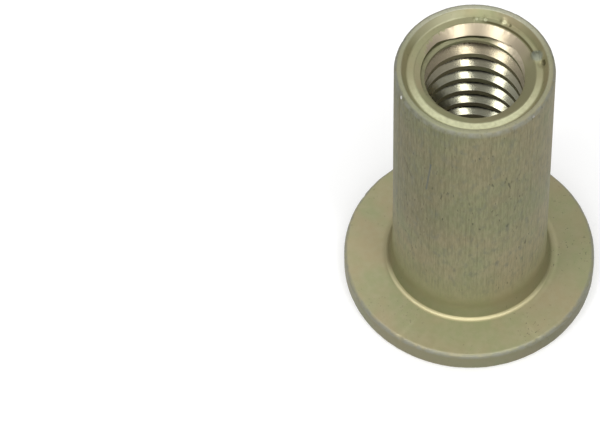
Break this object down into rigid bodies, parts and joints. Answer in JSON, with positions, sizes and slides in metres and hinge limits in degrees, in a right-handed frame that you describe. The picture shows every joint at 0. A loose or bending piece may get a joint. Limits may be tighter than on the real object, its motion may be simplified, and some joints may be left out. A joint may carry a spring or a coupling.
{
  "type": "rivet nut",
  "caption": "Open-end blind rivet nut with a flat round flange, a smooth cylindrical body, a crumple-zone bore and a threaded end with a countersunk mouth.",
  "frame": {"origin": "centre of the flange's lower (head) face, which the nut stands on", "axes": "+Z along the axis from the head face towards the open threaded end; the part is round about Z"},
  "size_m": [0.0172, 0.0172, 0.0233],
  "materials": {
    "plated_steel": "zinc plated with a yellow-olive chromate, satin, with fine lengthwise drawing marks"
  },
  "bodies": {
    "root": {"rivet_nut": "plated_steel"}
  },
  "joints": []
}
